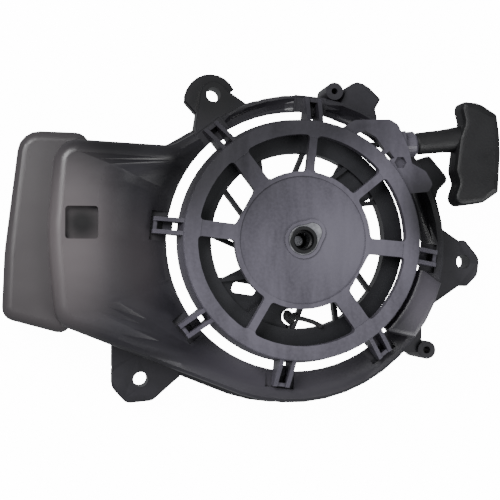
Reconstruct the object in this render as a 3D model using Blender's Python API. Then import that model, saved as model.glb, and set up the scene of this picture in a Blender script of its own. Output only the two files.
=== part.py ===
"""Recoil starter with its blower housing, for a small vertical-shaft engine.

The origin is on the crankshaft axis, at the plane of the mounting flange.
+Z points away from the engine, out of the top of the starter.
+X points to the pull handle.  Every size is in metres.
"""

import bpy
import bmesh
from math import atan2, cos, degrees, hypot, pi, radians, sin, sqrt
from mathutils import Matrix, Vector

# ---------------------------------------------------------------- driving dimensions
# The ring's outer radius, the deck's height and the duct's reach set the size of the whole
# part.  The sizes tied to them are written as sums, so that the pieces keep fitting.

FIT = 0.0003                # clearance between pieces that touch
WALL = 0.0025               # wall of every moulded shell

RING_OUT_R = 0.0975         # outer edge of the starter's ring
SET_OUT_R = 0.0975          # ring radius that positions around the rim were set out for
DECK_Z = 0.060              # top of the flat deck around the starter
DUCT_LEFT = 0.204           # duct's left edge, from the crank axis

# blower housing
DUCT_Z = DECK_Z + 0.024     # top of the duct over the cylinder
VOLUTE_START_R = RING_OUT_R + 0.0230    # outer wall at the narrow end of the volute
VOLUTE_END_R = VOLUTE_START_R + 0.0145  # outer wall where it runs into the duct
VOLUTE_START = 126.0        # degrees, narrow end
VOLUTE_END = -110.9         # degrees, wide end
DUCT_TOP_Y = 0.081
DUCT_LOW_Y = -0.0665        # lower left corner of the duct
DUCT_CORNER = 0.020
SHOULDER = 0.011            # rounding along the top edges
DECK_HOLE_R = RING_OUT_R + 0.0105       # air opening around the starter
SLOPE_R = DECK_HOLE_R - 0.002           # foot of the slope from the deck up to the duct
SLOPE_RUN = 0.056           # how far the slope runs outwards
FLANGE_OUT = 0.005
FLANGE_T = 0.003
TROUGHS = ((2.0, 30.0), (58.0, 79.0), (89.0, 123.0))    # sunk stretches of the deck, degrees
TROUGH_DEPTH = 0.008
TROUGH_EASE = 7.0           # degrees over which a trough's ends run out
NOTCH_W = 0.024             # pocket in the deck that each bridge's end sits in
HOOD_X = -DUCT_LEFT + 0.054 # left of this line the duct is a hood over the extension
HOOD_Z = DUCT_Z - 0.018
RECESS = 0.026              # side of the square recess in the duct's top
RECESS_AT = (-DUCT_LEFT + 0.027, 0.0135)
RECESS_DEPTH = 0.007

# duct extension
EXT_LEFT = DUCT_LEFT + 0.036
EXT_LAP = 0.006             # how far its root runs on inside the duct
EXT_OUT = 0.0065            # how far it stands outside the duct's sides
EXT_TUCK = WALL + 0.0022    # how far its root is inside the duct's sides
EXT_STEP_X = (-DUCT_LEFT + 0.028, -DUCT_LEFT + 0.014)   # where its sides step out
EXT_CORNER = 0.018
EXT_SCREW_X = -DUCT_LEFT + 0.032
EXT_SCREW_INSET = WALL + 0.0155     # screw axis, inside the duct's side
SCREW_R = 0.0016
SCREW_HEAD_R = 0.0040

# starter case
CASE_Z = DECK_Z + 0.032     # face of the ring
HUB_Z = CASE_Z - 0.0017     # face of the hub disc
HUB_R = RING_OUT_R - 0.0417
HUB_RIM = 0.004             # width of the raised border of the hub
RING_IN_R = RING_OUT_R - 0.0119
CASE_T = 0.0035             # plate thickness of ring and hub
SPOKE_DEPTH = 0.008
SKIRT_Z = DECK_Z + 0.0065   # lower edge of the skirt under the ring
SKIRT_FLARE = 0.0030        # how much wider the skirt is at its lower edge
SKIRT_T = 0.0022
SPOKES = ((39.0, 0.0062), (84.0, 0.0064), (127.5, 0.0144), (173.5, 0.0128),
          (239.5, 0.0064), (305.5, 0.0144), (355.0, 0.0128))    # bearing, width
BROAD_SPOKE = 0.014         # from this width on, the hub is straight after a spoke
WINDOW_CORNER = 0.003
BRIDGES = ((84.0, 0.0105), (128.0, 0.0110), (174.0, 0.0125), (218.0, 0.0125),
           (263.0, 0.0125), (308.0, 0.0115), (353.0, 0.0105))   # bearing, reach over the deck
BRIDGE_GAP = 0.0068         # between the two ribs of a bridge
BRIDGE_T = 0.0034
BRIDGE_HALF = degrees((BRIDGE_GAP / 2 + BRIDGE_T + 0.001) / RING_OUT_R)
FACE_SPAN = (BRIDGES[5][0] - 360 + BRIDGE_HALF,         # raised face between two bridges
             BRIDGES[6][0] - 360 - BRIDGE_HALF)
FOOT_T = 0.0028
CLIP_T = 0.0035
CUP_R = HUB_R - 0.0078      # inside of the spring cup under the hub
CUP_T = 0.0022

# pulley
PULLEY_MID_Z = DECK_Z + 0.005
ROPE_D = 0.0044
PULLEY_R = RING_OUT_R - 0.0095
GROOVE_R = PULLEY_R - 0.0120            # bottom of the rope groove
GROOVE_W = 2 * ROPE_D + 0.0006
PULLEY_FLANGE_T = 0.0022
PULLEY_RIM_IN_R = GROOVE_R - 0.0035
PULLEY_HUB_R = 0.015
PULLEY_PLATE_R = RING_OUT_R - 0.0475
PULLEY_PLATE_Z = PULLEY_MID_Z - 0.005   # underside of the pulley's hub plate
PULLEY_PLATE_T = 0.004
RIB_TOP_Z = PULLEY_MID_Z + GROOVE_W / 2 + PULLEY_FLANGE_T - 0.0015
CUP_Z = RIB_TOP_Z + 0.0008  # lower edge of the case's spring cup
RIB_COUNT = 12
RIB_FIRST = 86.0
RIB_LEAN = 11.0
RIB_T = 0.0036
KNOT_ANGLE = -96.0
KNOT_R = 0.0056
KNOT_SPREAD = 1.15          # a pulled knot is wider than it is high
PULLEY_KNOT_R = PULLEY_RIM_IN_R - 0.0095    # from the axis to the knot's middle

# centre post and ratchet
BUSH_R = 0.0092
BUSH_FLANGE_R = 0.0111
BUSH_FLANGE_T = 0.0019
BUSH_TOP_Z = CASE_Z + 0.0020
BUSH_LOW_Z = PULLEY_MID_Z - 0.0090
BOLT_R = 0.0040
PAWL_COUNT = 2
PAWL_FIRST = 20.0           # bearing of the first pawl's pin
PAWL_TUCK = -118.0          # how a pawl lies at rest, from its pin's bearing
PAWL_PIVOT_R = 0.026
PAWL_PIN_R = 0.0024
PAWL_T = 0.0050
PAWL_Z = PULLEY_MID_Z - 0.0120
GUIDE_R = 0.034
GUIDE_Z = PULLEY_MID_Z - 0.0180
GUIDE_T = 0.0028

# recoil spring
SPRING_H = 0.0110
SPRING_T = 0.0006
SPRING_TURNS = 6
SPRING_IN_R = PULLEY_HUB_R + 0.0025
SPRING_OUT_R = CUP_R - 0.0025
SPRING_Z = PULLEY_MID_Z + 0.0085

# rope, guide and grip
PULL_ANGLE = 6.5            # degrees above +X
ROPE_Z = PULLEY_MID_Z + ROPE_D / 2
EYELET_R = 0.0108
EYELET_L = 0.0115
EYELET_NECK = 0.0060        # length of its thinner part, inside the arm
ARM_W = 0.027
ARM_L = 0.016               # box that holds the guide, along the pull line
ARM_TOP_Z = CASE_Z - 0.0075
ARM_FOOT_Z = DECK_Z + 0.0024     # underside of the arm, clear of the rising deck
STEM_R = 0.0093
STEM_L = 0.0385
BAR_W = 0.0325              # bar, along the pull line
BAR_THICK = 0.0270
GRIP_CAP_R = 0.0085
GRIP_WASHER_T = 0.0012

# mounting lugs and bosses
LUG_TOP_Z = 0.024
LUG_HOLE_R = 0.0062
HOOD_TOP_Z = 0.011
BOSS_R = 0.0078
BOSS_HOLE_R = 0.0031


def spread(x, y):
    """A point at the rim, moved out by as much as the ring is larger than it was set out for."""
    reach = hypot(x, y)
    grown = (reach + RING_OUT_R - SET_OUT_R) / reach
    return (x * grown, y * grown)


def spread_all(corners):
    return [(*spread(x, y), *rest) for x, y, *rest in corners]


GUIDE_AT = spread(0.0950, 0.0813)       # middle of the rope guide
LUG_HOLES = {"rear": spread(-0.0642, 0.1263), "front": spread(-0.1260, -0.1159),
             "side": spread(0.1570, -0.0161)}
BOSS_AT = spread(0.1170, -0.0920)
TOP_BOSS_AT = spread(0.0336, 0.1262)


# ---------------------------------------------------------------- modelling helpers

def clear_scene():
    for item in list(bpy.data.objects):
        bpy.data.objects.remove(item)


def finish(name, colour, roughness, metallic=0.0):
    """A plain Principled material."""
    made = bpy.data.materials.new(name)
    made.use_nodes = True
    shader = made.node_tree.nodes["Principled BSDF"]
    shader.inputs["Base Color"].default_value = (*colour, 1.0)
    shader.inputs["Roughness"].default_value = roughness
    shader.inputs["Metallic"].default_value = metallic
    made.diffuse_color = (*colour, 1.0)
    return made


def loop_area(points):
    pairs = zip(points, points[1:] + points[:1])
    return sum(a[0] * b[1] - b[0] * a[1] for a, b in pairs) / 2


def rounded(corners, step=20.0):
    """An outline from (x, y, radius) corners, counter-clockwise, with each corner an arc."""
    points = []
    count = len(corners)
    for i, (x, y, radius) in enumerate(corners):
        if radius <= 0:
            points.append((x, y))
            continue
        here = Vector((x, y))
        back = (Vector(corners[i - 1][:2]) - here).normalized()
        ahead = (Vector(corners[(i + 1) % count][:2]) - here).normalized()
        half = back.angle(ahead) / 2
        centre = here + (back + ahead).normalized() * radius / sin(half)
        first = here + back * radius * cos(half) / sin(half) - centre
        last = here + ahead * radius * cos(half) / sin(half) - centre
        sweep = first.angle_signed(last)
        steps = max(1, round(abs(degrees(sweep)) / step))
        for k in range(steps + 1):
            spoke = first.copy()
            spoke.rotate(Matrix.Rotation(-sweep * k / steps, 2))
            points.append(tuple(centre + spoke))
    return points


def inset(points, distance):
    """The same outline moved inwards, point by point."""
    moved = []
    count = len(points)
    for i, point in enumerate(points):
        here = Vector(point)
        before = (here - Vector(points[i - 1])).normalized()
        after = (Vector(points[(i + 1) % count]) - here).normalized()
        normal = Vector((-before.y - after.y, before.x + after.x)).normalized()
        lean = max(0.3, normal.dot(Vector((-before.y, before.x))))
        moved.append(tuple(here + normal * distance / lean))
    return moved


def arc(radius, start, stop, step=7.5, centre=(0.0, 0.0)):
    """Points on a circle from one angle to another, in degrees."""
    steps = max(1, round(abs(stop - start) / step))
    angles = [radians(start + (stop - start) * k / steps) for k in range(steps + 1)]
    return [(centre[0] + radius * cos(a), centre[1] + radius * sin(a)) for a in angles]


def stack(layers):
    """A closed solid from outlines of equal length at rising heights."""
    mesh = bmesh.new()
    rings = [[mesh.verts.new((x, y, z)) for x, y in points] for points, z in layers]
    mesh.faces.new(list(reversed(rings[0])))
    mesh.faces.new(rings[-1])
    for low, high in zip(rings, rings[1:]):
        for i in range(len(low)):
            k = (i + 1) % len(low)
            mesh.faces.new((low[i], low[k], high[k], high[i]))
    return mesh


def loft(rings):
    """A closed solid through rings of (x, y, z) points, each with as many points."""
    mesh = bmesh.new()
    rings = [[mesh.verts.new(point) for point in ring] for ring in rings]
    mesh.faces.new(list(reversed(rings[0])))
    mesh.faces.new(rings[-1])
    for low, high in zip(rings, rings[1:]):
        for i in range(len(low)):
            k = (i + 1) % len(low)
            mesh.faces.new((low[i], low[k], high[k]))
            mesh.faces.new((low[i], high[k], high[i]))
    return mesh


def prism(points, low, high):
    return stack([(points, low), (points, high)])


def crowned(points, low, high, radius, steps=2):
    """A prism whose top edge is rounded."""
    layers = [(points, low)]
    for k in range(steps + 1):
        turn = pi / 2 * k / steps
        layers.append((inset(points, radius * (1 - cos(turn))), high - radius * (1 - sin(turn))))
    return stack(layers)


def drum(x, y, radius, low, high, segments=24):
    points = arc(radius, 0.0, 360.0 - 360.0 / segments, 360.0 / segments, (x, y))
    return prism(points, low, high)


def block(x0, x1, y0, y1, z0, z1):
    return prism([(x0, y0), (x1, y0), (x1, y1), (x0, y1)], z0, z1)


def turned(profile, segments=48):
    """A profile of (radius, z) points, counter-clockwise, turned about Z."""
    mesh = bmesh.new()
    ring = [mesh.verts.new((r, 0.0, z)) for r, z in profile]
    edges = [mesh.edges.new((a, b)) for a, b in zip(ring, ring[1:] + ring[:1])]
    bmesh.ops.spin(mesh, geom=ring + edges, axis=(0, 0, 1), cent=(0, 0, 0), angle=2 * pi,
                   steps=segments, use_merge=True)
    bmesh.ops.remove_doubles(mesh, verts=mesh.verts, dist=1e-6)
    loose = [e for e in mesh.edges if not e.link_faces]
    bmesh.ops.delete(mesh, geom=loose, context="EDGES")
    bmesh.ops.recalc_face_normals(mesh, faces=mesh.faces)
    return mesh


def swept(route, radius, sides=8):
    """A round bar along a list of points, with flat ends."""
    mesh = bmesh.new()
    rings = []
    spots = [Vector(p) for p in route]
    for i, spot in enumerate(spots):
        ahead = spots[min(i + 1, len(spots) - 1)] - spots[max(i - 1, 0)]
        ahead.normalize()
        across = ahead.cross(Vector((0, 0, 1)))
        if across.length < 0.01:
            across = ahead.cross(Vector((0, 1, 0)))
        across.normalize()
        up = across.cross(ahead)
        ring = []
        for k in range(sides):
            turn = 2 * pi * k / sides
            ring.append(mesh.verts.new(spot + (across * cos(turn) + up * sin(turn)) * radius))
        rings.append(ring)
    for near, far in zip(rings, rings[1:]):
        for k in range(sides):
            n = (k + 1) % sides
            mesh.faces.new((near[k], near[n], far[n], far[k]))
    mesh.faces.new(rings[0])
    mesh.faces.new(rings[-1])
    bmesh.ops.recalc_face_normals(mesh, faces=mesh.faces)
    return mesh


def moved(mesh, matrix):
    bmesh.ops.transform(mesh, matrix=matrix, verts=mesh.verts)
    return mesh


def about_z(mesh, angle, x=0.0, y=0.0):
    return moved(mesh, Matrix.Translation((x, y, 0)) @ Matrix.Rotation(radians(angle), 4, "Z"))


def along_pull(mesh, along, z=ROPE_Z):
    """Lays a shape that was turned about Z along the pull line, `along` metres past the guide."""
    e = PULL_DIRECTION
    spot = Vector((GUIDE_AT[0], GUIDE_AT[1], z)) + Vector((e[0], e[1], 0)) * along
    turn = Matrix.Rotation(radians(PULL_ANGLE), 4, "Z") @ Matrix.Rotation(pi / 2, 4, "Y")
    return moved(mesh, Matrix.Translation(spot) @ turn)


def node(name, mesh, material, pivot=(0.0, 0.0, 0.0)):
    """A finished object whose origin is the pivot."""
    bmesh.ops.translate(mesh, vec=[-c for c in pivot], verts=mesh.verts)
    data = bpy.data.meshes.new(name)
    mesh.to_mesh(data)
    mesh.free()
    data.materials.append(material)
    data.shade_smooth()
    data.set_sharp_from_angle(angle=radians(32))
    made = bpy.data.objects.new(name, data)
    made.location = pivot
    bpy.context.collection.objects.link(made)
    return made


def tool(target, mesh, operation):
    """Adds a Boolean to an object, with its tool as a hidden wire object."""
    data = bpy.data.meshes.new(target.name + "_tool")
    mesh.to_mesh(data)
    mesh.free()
    shape = bpy.data.objects.new(data.name, data)
    shape.hide_render = True
    shape.display_type = "WIRE"
    bpy.context.collection.objects.link(shape)
    step = target.modifiers.new(operation.title(), "BOOLEAN")
    step.operation = operation
    step.solver = "EXACT"
    step.object = shape
    return shape


def add(target, *meshes):
    for mesh in meshes:
        tool(target, mesh, "UNION")


def cut(target, *meshes):
    for mesh in meshes:
        tool(target, mesh, "DIFFERENCE")


def join(*meshes):
    """Puts meshes that don't touch into one."""
    whole = bmesh.new()
    for mesh in meshes:
        data = bpy.data.meshes.new("part")
        mesh.to_mesh(data)
        mesh.free()
        whole.from_mesh(data)
        bpy.data.meshes.remove(data)
    return whole


# ---------------------------------------------------------------- derived geometry

PULL_DIRECTION = (cos(radians(PULL_ANGLE)), sin(radians(PULL_ANGLE)))
ROPE_R = GROOVE_R + ROPE_D / 2 + FIT


def rope_start():
    """Where the rope leaves the winding, on the line that just touches it and meets the guide."""
    reach = hypot(*GUIDE_AT)
    bearing = atan2(GUIDE_AT[1], GUIDE_AT[0]) + atan2(sqrt(reach ** 2 - ROPE_R ** 2), ROPE_R)
    return (ROPE_R * cos(bearing), ROPE_R * sin(bearing))


def lead_route():
    """Rope's middle line from the winding, through the guide, to the knot in the grip."""
    start = rope_start()
    knot = knot_centre()
    end = (knot[0] - PULL_DIRECTION[0] * (KNOT_R + FIT),
           knot[1] - PULL_DIRECTION[1] * (KNOT_R + FIT))
    return [(*start, ROPE_Z), (*GUIDE_AT, ROPE_Z), (*end, ROPE_Z)]


def along(distance):
    return (GUIDE_AT[0] + PULL_DIRECTION[0] * distance,
            GUIDE_AT[1] + PULL_DIRECTION[1] * distance)


STEM_START = EYELET_L / 2 + FIT
BAR_IN = STEM_START + STEM_L            # inner face of the bar, along the pull line
BAR_OUT = BAR_IN + BAR_W
KNOT_SEAT = BAR_OUT - 0.0185            # floor of the knot's pocket


def knot_centre():
    return along(KNOT_SEAT + FIT + GRIP_WASHER_T + FIT + KNOT_R)


def volute_end():
    turn = radians(VOLUTE_END)
    return (VOLUTE_END_R * cos(turn), VOLUTE_END_R * sin(turn))


def housing_outline():
    """The housing from above: a growing volute, and the duct on its left."""
    steps = 30
    points = []
    for k in range(steps + 1):
        share = 1 - k / steps
        turn = radians(VOLUTE_START + (VOLUTE_END - VOLUTE_START) * share)
        radius = VOLUTE_START_R + (VOLUTE_END_R - VOLUTE_START_R) * share
        points.append((radius * cos(turn), radius * sin(turn)))
    side_steps = 4
    front = [(x, duct_front(x)) for x in
             (volute_end()[0] - k * (DUCT_LEFT - 0.045) / side_steps / 1.55 for k in range(side_steps, 0, -1))]
    duct = rounded([
        (*points[-1], 0.0),
        (-VOLUTE_START_R * 0.863, DUCT_TOP_Y - 0.003, 0.020),
        (0.006 - DUCT_LEFT, DUCT_TOP_Y, DUCT_CORNER),
        (-DUCT_LEFT, 0.005, 0.10),
        (0.006 - DUCT_LEFT, DUCT_LOW_Y, DUCT_CORNER),
        (*points[0], 0.0),
    ], 15)
    return points[:-1] + duct[:-1] + front


def duct_front(x):
    """The duct's front side from above, at one x."""
    start = volute_end()
    corner = (0.006 - DUCT_LEFT, DUCT_LOW_Y)
    return start[1] + (x - start[0]) * (corner[1] - start[1]) / (corner[0] - start[0])


def rim_between(start, stop, depth):
    """The volute's outline between two angles, moved inwards."""
    return [(x, y) for x, y in inset(housing_outline(), depth)
            if start < degrees(atan2(y, x)) < stop]


def ease(share):
    share = min(1.0, max(0.0, share))
    return (1 - cos(pi * share)) / 2


def height(x, y):
    """The housing's top surface: a deck that rises into the duct, with its troughs."""
    reach, bearing = hypot(x, y), degrees(atan2(y, x))
    z = DECK_Z + (DUCT_Z - DECK_Z) * ease((reach - SLOPE_R) / SLOPE_RUN)
    middle = (DECK_HOLE_R + VOLUTE_START_R) / 2 - 0.002
    across = ease(1 - abs(reach - middle) / 0.011)
    for start, stop in TROUGHS:
        z -= TROUGH_DEPTH * across * ease(min(bearing - start, stop - bearing) / TROUGH_EASE)
    return z


# ---------------------------------------------------------------- blower housing

def housing_form(wall=0.0):
    """The housing's outer form, or with a wall given, the form of its hollow."""
    outline = housing_outline()
    drop = wall * 1.06
    radius = SHOULDER - wall
    layers = [[(x, y, -0.002 if wall else 0.0) for x, y in inset(outline, wall)]]
    turns = 4
    for k in range(turns + 1):
        turn = pi / 2 * k / turns
        points = inset(outline, wall + radius * (1 - cos(turn)))
        layers.append([(x, y, height(x, y) - drop - radius * (1 - sin(turn))) for x, y in points])
    edge = points
    rings = 9
    for k in range(1, rings + 1):
        share = (k / rings) ** 0.8
        ring = []
        for x, y in edge:
            inward = (DECK_HOLE_R - 0.003) / hypot(x, y)
            scale = 1 + (inward - 1) * share
            ring.append((x * scale, y * scale, height(x * scale, y * scale) - drop))
        layers.append(ring)
    layers[-1] = [(x, y, DECK_Z + 0.0010 - drop) for x, y, _ in layers[-1]]
    return loft(layers)


def lug_outlines():
    """Each lug's plate from above: round or hooked at the hole, wide where it meets the wall."""
    rear, front, side = (LUG_HOLES[name] for name in ("rear", "front", "side"))
    return {
        "rear": arc(0.0115, 25, 175, 25, rear) + [
            (rear[0] - 0.0158, rear[1] - 0.0278), (rear[0] - 0.0138, rear[1] - 0.0383),
            (rear[0] + 0.0292, rear[1] - 0.0213), (rear[0] + 0.0312, rear[1] - 0.0093)],
        "front": rounded([
            (front[0] + 0.0330, front[1] + 0.0020, 0.0), (front[0] + 0.0330, front[1] + 0.0120, 0.0),
            (front[0] - 0.0430, front[1] + 0.0350, 0.0), (front[0] - 0.0400, front[1] + 0.0250, 0.004),
            (front[0] - 0.0225, front[1] + 0.0090, 0.002), (front[0] - 0.0260, front[1] + 0.0060, 0.002),
            (front[0] - 0.0230, front[1] - 0.0080, 0.004), (front[0] - 0.0120, front[1] - 0.0200, 0.008),
            (front[0] + 0.0100, front[1] - 0.0180, 0.008), (front[0] + 0.0270, front[1] - 0.0030, 0.004),
        ]),
        "side": rounded([
            (side[0] - 0.0330, side[1] + 0.0380, 0.0), (side[0] - 0.0420, side[1] + 0.0300, 0.0),
            (side[0] - 0.0480, side[1] - 0.0400, 0.0), (side[0] - 0.0270, side[1] - 0.0370, 0.004),
            (side[0] - 0.0020, side[1] - 0.0200, 0.002), (side[0] + 0.0030, side[1] - 0.0220, 0.002),
            (side[0] + 0.0130, side[1] - 0.0120, 0.008), (side[0] + 0.0150, side[1] + 0.0030, 0.009),
            (side[0] + 0.0010, side[1] + 0.0200, 0.004), (side[0] - 0.0030, side[1] + 0.0180, 0.002),
        ]),
    }


def build_housing(plastic):
    housing = node("blower_housing", housing_form(), plastic)
    flange = inset(housing_outline(), -FLANGE_OUT)
    add(housing, prism(flange, 0.0, FLANGE_T))
    for outline in lug_outlines().values():
        add(housing, crowned(outline, 0.0, LUG_TOP_Z, 0.0010, 1))
    x, y = LUG_HOLES["rear"]
    hood = arc(0.0225, 25, 185, 16, (x - 0.0010, y - 0.0030)) + [(x - 0.0100, y - 0.0200)]
    add(housing, crowned(hood, 0.0, HOOD_TOP_Z, 0.0010, 1))

    # bosses and guards around the rim
    x, y = BOSS_AT
    add(housing, drum(x, y, BOSS_R, 0.0, DECK_Z - 0.015))
    add(housing, prism([(x - 0.031, y - 0.002), (x - 0.013, y + 0.026), (x - 0.0035, y + 0.020),
                        (x - 0.004, y - 0.002)], 0.006, DECK_Z - 0.018))
    x, y = TOP_BOSS_AT
    guard_top = DECK_Z - 0.008
    add(housing, drum(x, y, BOSS_R - 0.0004, 0.022, DECK_Z - 0.002))
    guard = rounded(spread_all([(0.036, 0.112, 0.0), (0.069, 0.096, 0.0), (0.0725, 0.105, 0.003),
                     (0.0705, 0.113, 0.003), (0.0755, 0.1215, 0.0015), (0.066, 0.131, 0.008),
                     (0.055, 0.1375, 0.009), (0.044, 0.1295, 0.004)]), 30)
    add(housing, crowned(guard, 0.022, guard_top, 0.002, 1))
    ear = rounded(spread_all([(0.100, 0.066, 0.0), (0.108, 0.040, 0.0), (0.124, 0.037, 0.002),
                   (0.126, 0.0445, 0.004), (0.1355, 0.054, 0.005), (0.118, 0.0745, 0.003)]), 30)
    add(housing, crowned(ear, 0.020, guard_top, 0.002, 1))

    # raised face beside the ring, lower right
    face_z = CASE_Z - 0.0055
    face = rim_between(*FACE_SPAN, 0.006)
    face += arc(RING_OUT_R + SKIRT_FLARE + 0.0008, FACE_SPAN[1], FACE_SPAN[0], 7)
    add(housing, crowned(face, DECK_Z - 0.008, face_z, 0.005, 2))

    # the hollow
    cut(housing, housing_form(WALL))
    cut(housing, prism(inset(face, WALL), DECK_Z - 0.014, face_z - WALL))

    # a pocket with its own floor for the end of each bridge
    for angle, over_deck in BRIDGES:
        outer = DECK_HOLE_R + over_deck + 0.0015
        half = NOTCH_W / 2
        floor = block(DECK_HOLE_R - 0.002, outer + 0.0015, -half - 0.0015, half + 0.0015,
                      DECK_Z - WALL + FIT, DECK_Z + 0.0005)
        add(housing, about_z(floor, angle))
        pocket = block(DECK_HOLE_R - 0.008, outer, -half, half, DECK_Z, CASE_Z + 0.010)
        cut(housing, about_z(pocket, angle))

    # air opening, and the wall that is left out over the extension
    cut(housing, drum(0, 0, DECK_HOLE_R, DECK_Z - 0.018, DECK_Z + 0.0135, 60))
    cut(housing, drum(0, 0, RING_OUT_R + SKIRT_FLARE + 0.0005, DECK_Z - 0.001, CASE_Z + 0.010, 60))
    cut(housing, block(-EXT_LEFT - 0.020, HOOD_X, -0.140, 0.140, -0.010, HOOD_Z))
    cut(housing, along_pull(drum(0, 0, EYELET_R + 2 * FIT, -EYELET_L / 2 - EYELET_NECK - 0.0005, 0.040, 24), 0.0))

    # lug holes and boss holes
    for x, y in LUG_HOLES.values():
        cut(housing, drum(x, y, LUG_HOLE_R, -0.010, LUG_TOP_Z + 0.010, 24))
    cut(housing, drum(*BOSS_AT, BOSS_HOLE_R, -0.010, DECK_Z, 16))
    cut(housing, drum(*TOP_BOSS_AT, BOSS_HOLE_R - 0.0005, DECK_Z - 0.020, DECK_Z + 0.010, 16))

    # square recess in the duct's top, with its floor underneath
    x, y = RECESS_AT
    half = RECESS / 2
    under = half + WALL
    add(housing, block(x - under, x + under, y - under, y + under,
                       DUCT_Z - RECESS_DEPTH - WALL, DUCT_Z - 0.001))
    recess = rounded([(x - half, y - half, 0.0025), (x + half, y - half, 0.0025),
                      (x + half, y + half, 0.0025), (x - half, y + half, 0.0025)], 30)
    cut(housing, prism(recess, DUCT_Z - RECESS_DEPTH, DUCT_Z + 0.010))

    # bosses for the screws of the extension
    for x, y in extension_screws():
        add(housing, drum(x, y, 0.0050, HOOD_Z + 0.0005, DUCT_Z - 0.001, 16))
        cut(housing, drum(x, y, SCREW_R + FIT, HOOD_Z - 0.010, DUCT_Z - 0.005, 12))
    return housing


# ---------------------------------------------------------------- duct extension

def extension_screws():
    rear, front = DUCT_TOP_Y - EXT_SCREW_INSET, duct_front(EXT_SCREW_X) + EXT_SCREW_INSET
    return ((EXT_SCREW_X, rear), (EXT_SCREW_X, front))


def extension_outline():
    right = HOOD_X + EXT_LAP
    step_rear, step_front = EXT_STEP_X
    return rounded([
        (right, DUCT_TOP_Y - EXT_TUCK, 0.0),
        (step_rear + 0.008, DUCT_TOP_Y - EXT_TUCK, 0.004),
        (step_rear, DUCT_TOP_Y + EXT_OUT, 0.0115),
        (-EXT_LEFT + 0.014, DUCT_TOP_Y + EXT_OUT + 0.001, EXT_CORNER),
        (-EXT_LEFT + 0.002, -0.010, 0.100),
        (-EXT_LEFT, DUCT_LOW_Y + 0.004, EXT_CORNER * 0.6),
        (step_front, duct_front(step_front) - EXT_OUT, 0.0100),
        (step_front + 0.006, duct_front(step_front) + EXT_TUCK - 0.003, 0.003),
        (right, duct_front(right) + EXT_TUCK, 0.0),
    ])


def build_extension(plastic, steel):
    top = HOOD_Z - FIT
    outline = extension_outline()
    shell = node("duct_extension", crowned(outline, 0.0, top, 0.0085, 3), plastic)
    cut(shell, crowned(inset(outline, WALL), -0.005, top - WALL, 0.0060, 3))
    right = HOOD_X + EXT_LAP
    open_left = -DUCT_LEFT + 0.008
    cut(shell, block(right - WALL - 0.001, right + 0.010, -0.140, 0.140, -0.010, top - 0.010))
    cut(shell, block(open_left, right + 0.010, -0.052, 0.056, top - 0.020, top + 0.010))
    for n, (x, y) in enumerate(extension_screws()):
        cut(shell, drum(x, y, SCREW_R + 0.0008, top - 0.020, top + 0.010, 12))
        head = top - WALL - FIT
        screw = turned([(0.0, head - 0.0028), (SCREW_HEAD_R, head - 0.0028), (SCREW_HEAD_R, head),
                        (SCREW_R, head), (SCREW_R, head + 0.012), (0.0, head + 0.012)], 14)
        node("extension_screw_%d" % (n + 1), about_z(screw, 0, x, y), steel)


# ---------------------------------------------------------------- starter case

def window_outline(first, second):
    """The opening between two spokes, with rounded corners."""
    (a0, w0), (a1, w1) = first, second
    if a1 < a0:
        a1 += 360.0
    inner_0, inner_1 = a0 + degrees(w0 / 2 / HUB_R), a1 - degrees(w1 / 2 / HUB_R)
    outer_0, outer_1 = a0 + degrees(w0 / 2 / RING_IN_R), a1 - degrees(w1 / 2 / RING_IN_R)
    back = arc(HUB_R, inner_1, inner_0, 90 if w0 > BROAD_SPOKE else 7)
    corners = []
    for run in (arc(RING_IN_R, outer_0, outer_1, 6), back):
        for n, (x, y) in enumerate(run):
            corners.append((x, y, WINDOW_CORNER if n in (0, len(run) - 1) else 0.0))
    return rounded(corners, 30)


def bridge(angle, over_deck):
    """Two thin ribs from the ring to a foot on the deck, and a clip that hooks under it."""
    z_foot = DECK_Z + FIT
    reach = DECK_HOLE_R + over_deck
    root = RING_OUT_R + SKIRT_FLARE * 0.6
    profile = [(root, z_foot + 0.0004), (reach, z_foot + 0.0004), (reach, z_foot + 0.012),
               (RING_OUT_R + 0.006, CASE_Z - 0.006), (RING_OUT_R - 0.0004, CASE_Z - 0.0015),
               (root, SKIRT_Z + 0.0010)]
    pieces = []
    for side in (-1, 1):
        plate = prism(profile, -BRIDGE_T / 2, BRIDGE_T / 2)
        moved(plate, Matrix.Rotation(pi / 2, 4, "X"))
        pieces.append(moved(plate, Matrix.Translation((0, side * (BRIDGE_GAP + BRIDGE_T) / 2, 0))))
    width = BRIDGE_GAP + 2 * BRIDGE_T - 0.0008
    pieces.append(block(reach - BRIDGE_T, reach - 0.0004, -width / 2, width / 2,
                        z_foot + 0.0006, z_foot + 0.0110))
    under = DECK_Z - WALL - FIT
    clip_out = DECK_HOLE_R - 0.0010
    pieces.append(block(clip_out - CLIP_T + 0.0005, clip_out + 0.005, -width / 2, width / 2,
                        z_foot, z_foot + FOOT_T))
    pieces.append(block(clip_out - CLIP_T, clip_out, -width / 3, width / 3,
                        under - 0.0030, z_foot + 0.001))
    pieces.append(block(clip_out - CLIP_T / 2, clip_out + 0.0025, -width / 4, width / 4,
                        under - 0.0025, under))
    return [about_z(piece, angle) for piece in pieces]


def key_outline(grow):
    """Round about the axis with a second lobe at its upper right: the post's key."""
    main = BUSH_R + 0.0028 + grow
    lobe = 0.0078 + grow
    return (arc(main, 95, 345, 15)
            + arc(lobe, -35, 120, 15, (0.0075, 0.0062)))


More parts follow.
